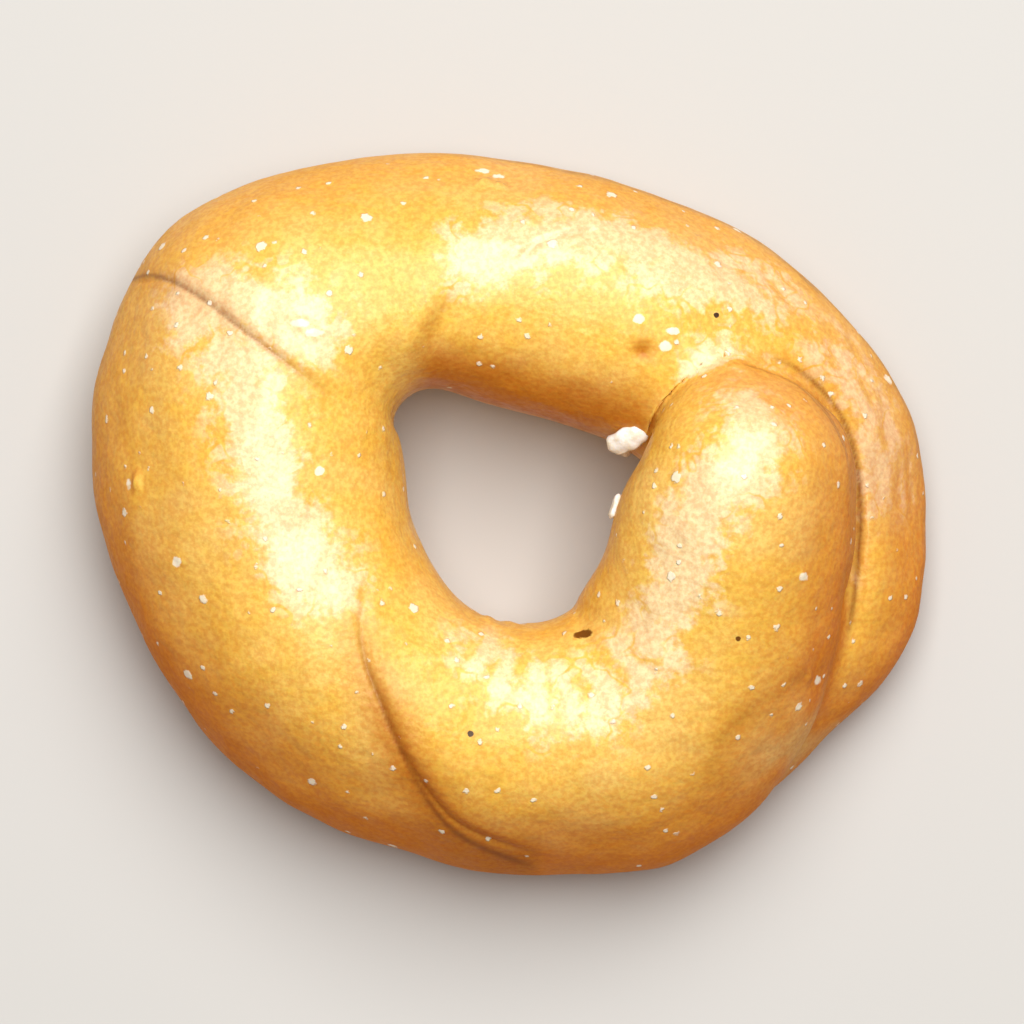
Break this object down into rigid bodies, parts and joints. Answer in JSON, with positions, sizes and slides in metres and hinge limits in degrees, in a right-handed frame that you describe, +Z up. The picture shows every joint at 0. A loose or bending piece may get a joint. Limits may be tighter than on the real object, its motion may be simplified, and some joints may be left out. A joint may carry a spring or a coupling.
{
  "type": "tarallo",
  "caption": "Crisp ring-shaped snack bread, one short rope of dough with an end laid over the other, with grains of salt stuck in its finger-wide hole; rests flat on its base.",
  "frame": {"origin": "under the middle of the ring, on the surface that it rests on", "axes": "+X along the ring's long way, towards its overlapping ends; +Y across it, towards the side where the lower end leaves the hole's edge; +Z up, off the flat base"},
  "size_m": [0.0452, 0.0388, 0.0165],
  "materials": {
    "crust": "satin",
    "salt": "satin"
  },
  "bodies": {
    "root": {"baked_ring": "crust", "salt_grain_1": "salt", "salt_grain_2": "salt", "salt_grain_3": "salt"}
  },
  "joints": []
}
